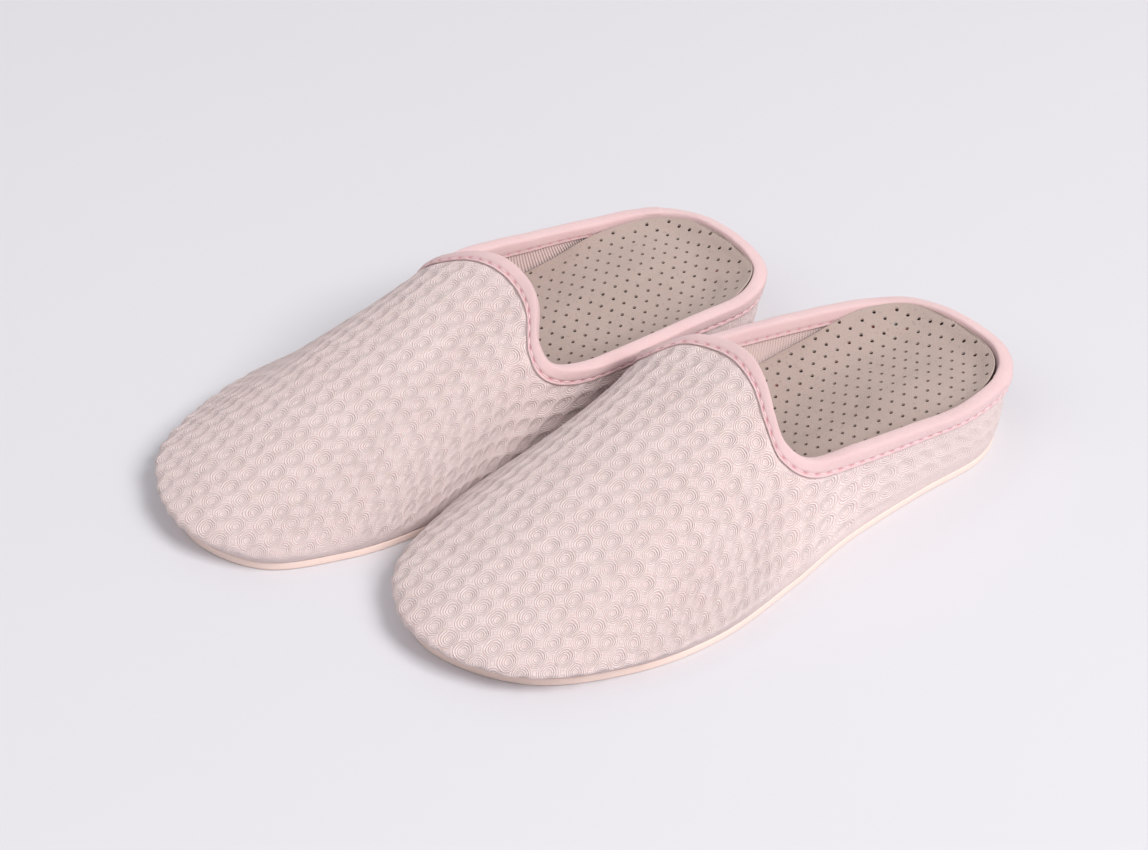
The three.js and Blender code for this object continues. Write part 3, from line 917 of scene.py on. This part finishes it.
class Repeat(Tree):
    # a Geometry Nodes tree, whose inputs are set by identifier before it is first evaluated
    def __init__(self, name, inputs):
        self.group = bpy.data.node_groups.new(name, "GeometryNodeTree")
        super().__init__(self.group)
        face = self.group.interface
        face.new_socket("Geometry", in_out="INPUT", socket_type="NodeSocketGeometry")
        self.identifiers = {}
        for title, (kind, value) in inputs.items():
            socket = face.new_socket(title, in_out="INPUT", socket_type=kind)
            if value is not None:
                socket.default_value = value
            self.identifiers[title] = socket.identifier
        face.new_socket("Geometry", in_out="OUTPUT", socket_type="NodeSocketGeometry")
        self.source = self.nodes.new("NodeGroupInput")
        self.sink = self.nodes.new("NodeGroupOutput")

    def given(self, title):
        return Socket(self, self.source.outputs[title])

    def staggered(self, pitch, rowPitch, columns, rows):
        # rows of points, every second row half a pitch on
        grid = self.node("GeometryNodeMeshGrid", {}, SizeX=pitch * (columns - 1), SizeY=rowPitch * (rows - 1),
                         VerticesX=columns, VerticesY=rows)
        y = self.parts(self.node("GeometryNodeInputPosition", {}))[1]
        odd = abs((y / rowPitch + 0.25).rounded() % 2)
        return self.node("GeometryNodeSetPosition", {}, Geometry=grid, Offset=self.vector(odd * 0.5 * pitch))

    def within(self, grid):
        # the grid's points that lie over the piece, away from its edge, and where they meet it
        number = {"data_type": "FLOAT"}
        edge = self.node("GeometryNodeInputNamedAttribute", number, Name="edgeDistance")
        target = self.given("Geometry")
        fromEdge = self.node("GeometryNodeRaycast", number, TargetGeometry=target, Attribute=edge,
                             RayDirection=(0, 0, -1), RayLength=1, output="Attribute")
        outside = (fromEdge > self.given("Edge Margin")) * fromEdge.beside("Is Hit") < 0.5
        points = self.node("GeometryNodeMeshToPoints", {}, Mesh=grid)
        chosen = self.node("GeometryNodeDeleteGeometry", {"domain": "POINT"}, Geometry=points,
                           Selection=outside)
        return chosen, fromEdge.beside("Hit Position")

    def end(self, geometry):
        painted = self.node("GeometryNodeSetMaterial", {}, Geometry=geometry, Material=self.given("Material"))
        self.links.new(painted.link, self.sink.inputs[0])

    def applyTo(self, piece, name, values):
        # the result is a piece of its own, and the one it grew from is removed
        modifier = piece.modifiers.new(name, "NODES")
        modifier.node_group = self.group
        for title, value in values.items():
            modifier[self.identifiers[title]] = value
        bpy.context.view_layer.update()
        evaluated = piece.evaluated_get(bpy.context.evaluated_depsgraph_get())
        mesh = bpy.data.meshes.new_from_object(evaluated)
        mesh.name = name
        piece.modifiers.remove(modifier)
        bpy.data.objects.remove(piece)
        made = bpy.data.objects.new(name, mesh)
        bpy.context.scene.collection.objects.link(made)
        return made


def stitchTree():
    tree = Repeat("binding_stitches", {
        "Count": ("NodeSocketInt", 80),
        "Stitch Length": ("NodeSocketFloat", 0.0036),
        "Thread Radius": ("NodeSocketFloat", 0.00026),
        "Material": ("NodeSocketMaterial", None),
    })
    path = tree.node("GeometryNodeMeshToCurve", {}, Mesh=tree.given("Geometry"))
    even = tree.node("GeometryNodeResampleCurve", {}, Curve=path, Count=tree.given("Count"))
    tangent = tree.node("GeometryNodeInputTangent", {})
    turn = tree.node("FunctionNodeAlignRotationToVector", {"axis": "Z"}, Vector=tangent)
    thread = tree.node("GeometryNodeMeshCylinder", {}, Vertices=8, SideSegments=6,
                       Radius=tree.given("Thread Radius"), Depth=tree.given("Stitch Length"))
    # each stitch is thinner at its ends, where it goes through the cloth
    x, y, z = tree.parts(tree.node("GeometryNodeInputPosition", {}))
    share = z / tree.given("Stitch Length")
    thin = 1 - share * share * 2.6
    narrowed = tree.vector(x * thin, y * thin, z)
    shaped = tree.node("GeometryNodeSetPosition", {}, Geometry=thread, Position=narrowed)
    copies = tree.node("GeometryNodeInstanceOnPoints", {}, Points=even, Instance=shaped, Rotation=turn)
    real = tree.node("GeometryNodeRealizeInstances", {}, Geometry=copies)
    tree.end(tree.node("GeometryNodeSetShadeSmooth", {}, Geometry=real))
    return tree


stitches = {"length": 0.0034, "radius": 0.00024, "sit": 0.2, "tree": stitchTree()}


def bindingStitches(side, sign):
    skin = Skin(binding["stations"])
    run, whole, count = stitchRun(skin)
    # half a pitch on from the needle holes, lying in the press line
    sit = binding["outerDepth"] + stitches["sit"]
    face = skin.layer(skin.length[:, None] - binding["stitchDrop"], sit)[:, 0]
    closedRun = np.concatenate([run, [whole]])
    closedFace = np.concatenate([face, face[:1]])
    at = np.linspace(0, whole, count * 4, endpoint=False) + whole / count / 2
    line = np.column_stack([np.interp(at % whole, closedRun, closedFace[:, k]) for k in range(3)])
    mesh = bpy.data.meshes.new("stitch_line")
    edges = [(k, (k + 1) % len(line)) for k in range(len(line))]
    mesh.from_pydata(toRow(line, sign).tolist(), edges, [])
    path = bpy.data.objects.new("stitch_line", mesh)
    bpy.context.scene.collection.objects.link(path)
    made = stitches["tree"].applyTo(path, side + "_binding_stitches", {
        "Count": count,
        "Stitch Length": stitches["length"],
        "Thread Radius": stitches["radius"],
        "Material": finishes["thread"],
    })
    return adopt(made, side, "binding_thread", "thread")


# Between which shares of the way round the insole has room for the toe stiffener, and stands a
# little off the binding at the outer back of the heel
insoleRoom = {
    "toeFrom": (0.28, 0.34),
    "toeTo": (0.66, 0.72),
    "gapFrom": (0.0, 0.04),
    "gapTo": (0.1, 0.15),
    "gap": 0.6,
}


def insoleRing(skin, inset, heightOf):
    ring = skin.ring(insoleDepth + inset, heightOf)
    deep = skin.ring(insoleDepth + stiffenerRoom + inset, heightOf)
    toe = smoothStep(*insoleRoom["toeFrom"], skin.turn) * (1 - smoothStep(*insoleRoom["toeTo"], skin.turn))
    loose = smoothStep(*insoleRoom["gapFrom"], skin.turn) * (1 - smoothStep(*insoleRoom["gapTo"], skin.turn))
    return ring + (deep - ring) * (toe + insoleRoom["gap"] * loose)[:, None]


perforation = {
    "across": 4.9,
    "rows": 5.8,
    "slant": 22.5,
    "radius": 0.8,
    "margin": 1.4,
    "drill": 4.4,
    "grid": (46, 60),
    "centre": (0, 100, 60),
}


def perforationTree():
    tree = Repeat("insole_perforations", {
        "Spacing": ("NodeSocketFloat", 0.0049),
        "Row Spacing": ("NodeSocketFloat", 0.006),
        "Slant": ("NodeSocketFloat", 0.0),
        "Hole Radius": ("NodeSocketFloat", 0.0007),
        "Hole Depth": ("NodeSocketFloat", 0.0044),
        "Edge Margin": ("NodeSocketFloat", 0.0014),
        "Centre": ("NodeSocketVector", (0, 0, 0)),
        "Material": ("NodeSocketMaterial", None),
    })
    grid = tree.staggered(tree.given("Spacing"), tree.given("Row Spacing"), *perforation["grid"])
    turned = tree.node("GeometryNodeTransform", {}, Geometry=grid, Translation=tree.given("Centre"),
                       Rotation=tree.vector(z=tree.given("Slant")))
    chosen, place = tree.within(turned)
    laid = tree.node("GeometryNodeSetPosition", {}, Geometry=chosen, Position=place)
    drill = tree.node("GeometryNodeMeshCylinder", {}, Vertices=10, Radius=tree.given("Hole Radius"),
                      Depth=tree.given("Hole Depth"))
    holes = tree.node("GeometryNodeInstanceOnPoints", {}, Points=laid, Instance=drill)
    real = tree.node("GeometryNodeRealizeInstances", {}, Geometry=holes)
    settings = {"operation": "DIFFERENCE", "solver": "MANIFOLD"}
    tree.end(tree.node("GeometryNodeMeshBoolean", settings, Mesh1=tree.given("Geometry"), Mesh2=real))
    return tree


insole = {"stations": 240, "across": 44, "curl": 1.1, "tree": perforationTree()}


def treadDrop(x, s, fromEdge):
    # heel cup, a soft hollow under the toes and a slight rise under the arch
    inside = smoothStep(1, 16, fromEdge)
    toes = 0.5 * smoothStep(170, 210, s)
    arch = 0.5 * np.exp(-(((s - 105) / 30) ** 2) - (((x + 22) / 14) ** 2))
    waist = smoothStep(8, 30, s) * (1 - smoothStep(100, 140, s))
    roll = 1.7 * (np.exp(-(((x + 15) / 11) ** 2)) - np.exp(-(((x - 15) / 14) ** 2)))
    return heelHollow(s, fromEdge) + inside * (toes - arch + roll * waist)


def curl(s):
    # the cover's edge turns up against the binding round the heel
    return insole["curl"] * (1 - smoothStep(20, 70, s))


def insoleCover(side, sign):
    skin = Skin(insole["stations"])
    rings = [
        insoleRing(skin, 0.5, lambda s: coverBottom(s) + curl(s)),
        insoleRing(skin, 0.0, lambda s: coverBottom(s) + curl(s) + 0.25),
        insoleRing(skin, 0.0, lambda s: insoleTop(s) + curl(s) - 0.2),
        insoleRing(skin, 0.45, lambda s: insoleTop(s) + curl(s) + 0.05),
    ]

    def drop(x, s, fromEdge):
        lift = padLift(pads[side], sign, x, s, fromEdge) if pads[side] else 0
        return treadDrop(x, s, fromEdge) + curl(s) * smoothStep(0, 9, fromEdge) - lift

    blank = stackMesh(side + "_insole_blank", rings, insole["across"], sign, rings[2], below=drop, above=drop)
    made = insole["tree"].applyTo(blank, side + "_insole_cover_cloth", {
        "Spacing": perforation["across"] / 1000,
        "Row Spacing": perforation["rows"] / 1000,
        "Slant": math.radians(perforation["slant"]),
        "Hole Radius": perforation["radius"] / 1000,
        "Hole Depth": perforation["drill"] / 1000,
        "Edge Margin": perforation["margin"] / 1000,
        "Centre": tuple(toRow(perforation["centre"], sign)),
        "Material": finishes["insole"],
    })
    made.data.polygons.foreach_set("use_smooth", np.full(len(made.data.polygons), True))
    made.data.set_sharp_from_angle(angle=math.radians(40))
    return adopt(made, side, "insole_cover", "insole")


def applyModifiers(piece):
    bpy.context.view_layer.update()
    evaluated = piece.evaluated_get(bpy.context.evaluated_depsgraph_get())
    mesh = bpy.data.meshes.new_from_object(evaluated)
    piece.modifiers.clear()
    piece.data = mesh


def places(mesh):
    out = np.empty(len(mesh.vertices) * 3)
    mesh.vertices.foreach_get("co", out)
    return out.reshape(-1, 3)


padding = {
    "voxel": 0.0028,
    "pressure": 4.0,
    "frames": 20,
    "cap": 0.0006,
    "slim": 0.35,
    "lift": (-0.3, 0.6),
    "fill": 0.8,
}
pads = {}


def swell(piece):
    # the pad is blown up as a closed cloth, and no point moves further than the cap
    remesh = piece.modifiers.new("even", "REMESH")
    remesh.mode = "VOXEL"
    remesh.voxel_size = padding["voxel"]
    applyModifiers(piece)
    start = places(piece.data)
    cloth = piece.modifiers.new("cloth", "CLOTH")
    cloth.settings.use_pressure = True
    cloth.settings.uniform_pressure_force = padding["pressure"]
    cloth.settings.effector_weights.gravity = 0
    for step in range(1, padding["frames"] + 1):
        bpy.context.scene.frame_set(step)
    applyModifiers(piece)
    move = places(piece.data) - start
    far = np.linalg.norm(move, axis=-1, keepdims=True)
    move *= np.minimum(1, padding["cap"] / np.maximum(far, 1e-9))
    piece.data.vertices.foreach_set("co", (start + move).ravel())
    bpy.context.scene.frame_set(1)
    smoother = piece.modifiers.new("smoother", "SUBSURF")
    smoother.levels = smoother.render_levels = 1
    applyModifiers(piece)
    piece.data.polygons.foreach_set("use_smooth", np.full(len(piece.data.polygons), True))
    print(piece.name, "swollen by", round(float(np.abs(move).max()) * 1000, 2), "mm at most")


def padLift(pad, sign, x, s, fromEdge):
    # how much higher the swollen pad stands than it was drawn, in millimetres
    drawn = footbedTop(s) - padding["slim"] - treadDrop(x, s, fromEdge)
    spots = toRow(np.stack([x, s, drawn], -1), sign)
    lift = np.zeros(s.shape)
    for index in np.ndindex(s.shape):
        spot = Vector(spots[index])
        hit = pad.ray_cast(spot + Vector((0, 0, 0.004)), Vector((0, 0, -1)), 0.01)[0]
        if hit is not None:
            lift[index] = (hit.z - spots[index][2]) * 1000 - padding["slim"]
    return np.clip(lift, *padding["lift"]) * smoothStep(2, 8, fromEdge)


def footbedPad(side, sign):
    skin = Skin(200)
    slim = padding["slim"]
    rings = [
        insoleRing(skin, slim + 0.3, lambda s: footbedBottom(s) + slim),
        insoleRing(skin, slim, lambda s: (footbedBottom(s) + footbedTop(s)) / 2),
        insoleRing(skin, slim + 0.3, lambda s: footbedTop(s) - slim),
    ]
    piece = stackMesh(side + "_rebond_footbed", rings, 30, sign, above=treadDrop)
    pads[side] = None
    swell(piece)
    polygons = [list(polygon.vertices) for polygon in piece.data.polygons]
    pads[side] = BVHTree.FromPolygons(places(piece.data).tolist(), polygons)
    adopt(piece, side, "footbed", "footbed")
    return piece


# The stiffener runs between these shares of the way round, up to this step of the skin's
# directions, and the lining comes back to the foam within the fade
stiffener = {"from": 0.345, "to": 0.655, "fade": 0.035, "top": 6, "clear": 6, "settle": 12}


def stiffenerMask(skin, ways):
    # 1 where the toe stiffener lies, by the way round and the way up
    start, end, fade = stiffener["from"], stiffener["to"], stiffener["fade"]
    turn = smoothStep(start - fade, start, skin.turn) * (1 - smoothStep(end, end + fade, skin.turn))
    top = skin.places[:, stiffener["top"], None] + stiffener["clear"]
    return turn[:, None] * (1 - smoothStep(top, top + stiffener["settle"], ways))


ribPitch = 1.25


def ribbedLining(side, sign):
    skin = Skin(400)
    ways = skin.ways(skin.foot, skin.length, 40)
    room = liningDepth + stiffenerRoom * stiffenerMask(skin, ways)
    profiles = np.concatenate([skin.layer(ways, room), skin.layer(ways, room + layers["lining"])[:, ::-1]], 1)
    steps = np.linalg.norm(np.roll(skin.rim, -1, 0) - skin.rim, axis=-1)
    run = np.concatenate([[0], np.cumsum(steps)]) / ribPitch
    rows = np.arange(skin.stations + 1) % skin.stations
    up = np.concatenate([ways, ways[:, ::-1]], 1)[rows] / ribPitch
    uv = np.stack([np.broadcast_to(run[:, None], up.shape), up], -1)
    piece = bandMesh(side + "_ribbed_lining", profiles, sign, uv)
    return adopt(piece, side, "upper_lining", "lining")


def foamInterlining(side, sign):
    skin = Skin(320)
    ways = skin.ways(skin.crossing(midsoleBottom), skin.length, 44)
    outer, inner = skin.layer(ways, foamDepth), skin.layer(ways, foamDepth + layers["foam"])
    piece = bandMesh(side + "_foam_interlining", np.concatenate([outer, inner[:, ::-1]], 1), sign)
    return adopt(piece, side, "upper_foam", "interlining")


def toeStiffener(side, sign):
    # a band as the others are, open at its two ends, which are closed by strips
    skin = Skin(320)
    chosen = slice(round(stiffener["from"] * skin.stations), round(stiffener["to"] * skin.stations) + 1)
    ways = skin.ways(skin.foot, skin.places[:, stiffener["top"]], 30)
    outer = skin.layer(ways, liningDepth)[chosen]
    inner = skin.layer(ways, liningDepth + layers["stiffener"])[chosen]
    profiles = np.concatenate([outer, inner[:, ::-1]], 1)
    count, size = profiles.shape[:2]
    i = np.arange(count - 1)[:, None] * size
    j = np.arange(size)[None]
    nextJ = (j + 1) % size
    faces = [np.stack([i + j, i + nextJ, i + size + nextJ, i + size + j], -1).reshape(-1, 4)]
    k = np.arange(size // 2 - 1)
    strip = np.stack([k, k + 1, size - 2 - k, size - 1 - k], -1)
    faces += [strip[:, ::-1], strip + (count - 1) * size]
    piece = meshObject(side + "_toe_puff", toRow(profiles, sign).reshape(-1, 3), np.concatenate(faces))
    tidyNormals(piece)
    return adopt(piece, side, "toe_stiffener", "stiffener")


def soleRing(skin, inset, height):
    ring = skin.base.copy()
    ring[:, :2] -= skin.outward * inset
    ring[:, 2] = height
    return ring


sole = {
    "stations": 400,
    "border": 5.0,
    "recess": 0.7,
    "lugPitch": 8.0,
    "lugRadius": 3.1,
    "lugSink": 0.05,
    "lugMargin": 9.5,
    "lugGrid": (30, 44),
    "lugCentre": (0, 132, 60),
}


def mouldedOutsole(side, sign):
    skin = Skin(sole["stations"])
    top, border = slipper["soleTop"], sole["border"]
    # inset and height of each ring, from the recess under the sole to the top
    underside = [(border + 0.5, sole["recess"]), (border, 0.1), (border - 0.2, 0), (1.0, 0)]
    lowerEdge = [(0.45, 0.12), (0.12, 0.45), (0, 1.0)]
    upperEdge = [(0, top - 0.5), (0.06, top - 0.2), (0.22, top - 0.04), (0.6, top)]
    rings = [soleRing(skin, inset, height) for inset, height in underside + lowerEdge + upperEdge]
    piece = stackMesh(side + "_moulded_outsole", rings, 12, sign)
    piece.data.set_sharp_from_angle(angle=math.radians(50))
    return adopt(piece, side, "outsole", "outsole")


def lugTree():
    tree = Repeat("sole_lugs", {
        "Pitch": ("NodeSocketFloat", 0.008),
        "Lug Radius": ("NodeSocketFloat", 0.003),
        "Lug Height": ("NodeSocketFloat", 0.0007),
        "Edge Margin": ("NodeSocketFloat", 0.009),
        "Centre": ("NodeSocketVector", (0, 0, 0)),
        "Material": ("NodeSocketMaterial", None),
    })
    grid = tree.staggered(tree.given("Pitch"), tree.given("Pitch") * math.sqrt(0.75), *sole["lugGrid"])
    moved = tree.node("GeometryNodeTransform", {}, Geometry=grid, Translation=tree.given("Centre"))
    chosen, _ = tree.within(moved)
    x, y = tree.parts(tree.node("GeometryNodeInputPosition", {}))[:2]
    level = tree.vector(x, y, tree.given("Lug Height") * 0.5)
    laid = tree.node("GeometryNodeSetPosition", {}, Geometry=chosen, Position=level)
    lug = tree.node("GeometryNodeMeshCylinder", {}, Vertices=6, Radius=tree.given("Lug Radius"),
                    Depth=tree.given("Lug Height"))
    copies = tree.node("GeometryNodeInstanceOnPoints", {}, Points=laid, Instance=lug)
    tree.end(tree.node("GeometryNodeRealizeInstances", {}, Geometry=copies))
    return tree


soleLugTree = lugTree()


def soleLugs(side, sign):
    # the lugs stand where a plate of the sole's outline lies over them
    skin = Skin(160)
    rings = [soleRing(skin, 0.5, 1.0), soleRing(skin, 0.5, 2.0)]
    plate = stackMesh("lug_plate", rings, 16, sign, skin.base)
    made = soleLugTree.applyTo(plate, side + "_sole_lugs", {
        "Pitch": sole["lugPitch"] / 1000,
        "Lug Radius": sole["lugRadius"] / 1000,
        "Lug Height": (sole["recess"] + sole["lugSink"]) / 1000,
        "Edge Margin": sole["lugMargin"] / 1000,
        "Centre": tuple(toRow(sole["lugCentre"], sign)),
        "Material": finishes["outsole"],
    })
    made.data.materials.clear()
    made.data.materials.append(finishes["outsole"])
    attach(made, side + "_slipper")
    return made


def midsoleWedge(side, sign):
    skin = Skin(200)
    rings = [
        skin.ring(bodyDepth, lambda s: midsoleBottom),
        skin.ring(bodyDepth, lambda s: (midsoleBottom + midsoleTop(s)) / 2),
        skin.ring(bodyDepth, midsoleTop),
    ]
    piece = stackMesh(side + "_midsole_wedge", rings, 20, sign)
    return adopt(piece, side, "midsole", "midsole")


def insoleBoard(side, sign):
    skin = Skin(200)
    rings = [skin.ring(bodyDepth, heightOf) for heightOf in (boardBottom, boardTop)]
    piece = stackMesh(side + "_fibre_board", rings, 20, sign)
    return adopt(piece, side, "insole_board", "board")


def bottomFiller(side, sign):
    skin = Skin(200)
    inset = layers["fabric"] + layers["margin"] + slipper["gap"]
    rings = [soleRing(skin, inset, marginBottom), soleRing(skin, inset, marginTop)]
    piece = stackMesh(side + "_felt_filler", rings, 16, sign)
    return adopt(piece, side, "bottom_filler", "filler")


makers = (waffleUpper, rolledBinding, bindingStitches, footbedPad, insoleCover, ribbedLining, foamInterlining,
          toeStiffener, mouldedOutsole, soleLugs, midsoleWedge, insoleBoard, bottomFiller)
for side, sign in sides.items():
    for make in makers:
        piece = make(side, sign)
        print(piece.name, len(piece.data.polygons), "faces")


studio = {
    "lens": 90.94,
    "sensor": 36.0,
    "distance": 1.15112,
    "azimuth": 52.244,
    "elevation": 37.0,
    "aim": (-20.77, 8.54),
    "floorSize": 8.0,
    "floorLight": (216, 215, 220),
    "floorDark": (213, 212, 217),
    "ambience": 0.47,
    "ambientColor": (1.0, 0.985, 0.995),
}
lamps = {
    "key": {"place": (2.6, 0.8, 2.8), "aim": (0, 0, 0), "size": 1.9, "power": 138, "color": (1, 0.99, 0.98)},
    "fill": {"place": (-0.4, -2.2, 2.8), "aim": (0, 0, 0), "size": 3, "power": 24, "color": (1, 0.99, 0.99)},
    "back": {"place": (-2.2, 1.6, 2.6), "aim": (-0.3, 0.3, 0), "size": 2, "power": 6,
             "color": (1, 0.99, 0.99)},
}


def addCamera():
    made = bpy.data.cameras.new("camera")
    made.lens = studio["lens"]
    made.sensor_width = studio["sensor"]
    made.sensor_fit = "HORIZONTAL"
    eye = bpy.data.objects.new("camera", made)
    bpy.context.scene.collection.objects.link(eye)
    turn, tilt = math.radians(studio["azimuth"]), math.radians(studio["elevation"])
    aim = np.array([*studio["aim"], 0]) / 1000 + pairShift
    back = np.array([math.sin(turn) * math.cos(tilt), -math.cos(turn) * math.cos(tilt), math.sin(tilt)])
    eye.location = aim + back * studio["distance"]
    eye.rotation_euler = (math.pi / 2 - tilt, 0, turn)
    bpy.context.scene.camera = eye


def addFloor():
    far = studio["floorSize"] / 2
    mesh = bpy.data.meshes.new("floor")
    mesh.from_pydata([(-far, -far, 0), (far, -far, 0), (far, far, 0), (-far, far, 0)], [], [(0, 1, 2, 3)])
    made = bpy.data.objects.new("floor", mesh)
    bpy.context.scene.collection.objects.link(made)
    finish = Finish("pale_floor", 0.7)
    blotch = finish.noise(finish.objectPlace(), 3)
    color = finish.blend(blotch, tint(*studio["floorLight"]), tint(*studio["floorDark"]))
    mesh.materials.append(finish.finish(color))


def addLamp(name, place, aim, size, power, color):
    made = bpy.data.lights.new(name, "AREA")
    made.size = size
    made.energy = power
    made.color = color
    lamp = bpy.data.objects.new(name, made)
    bpy.context.scene.collection.objects.link(lamp)
    lamp.location = place
    direction = np.array(aim) - np.array(place)
    across = math.hypot(direction[0], direction[1])
    lamp.rotation_euler = (math.atan2(across, -direction[2]), 0, math.atan2(-direction[0], direction[1]))


def addWorld():
    made = bpy.data.worlds.new("studio")
    made.use_nodes = True
    ground = made.node_tree.nodes["Background"]
    ground.inputs["Color"].default_value = (*studio["ambientColor"], 1)
    ground.inputs["Strength"].default_value = studio["ambience"]
    bpy.context.scene.world = made


addCamera()
addFloor()
addWorld()
for name, lamp in lamps.items():
    addLamp(name, **lamp)
bpy.context.scene.view_settings.view_transform = "Standard"
print("studio made")
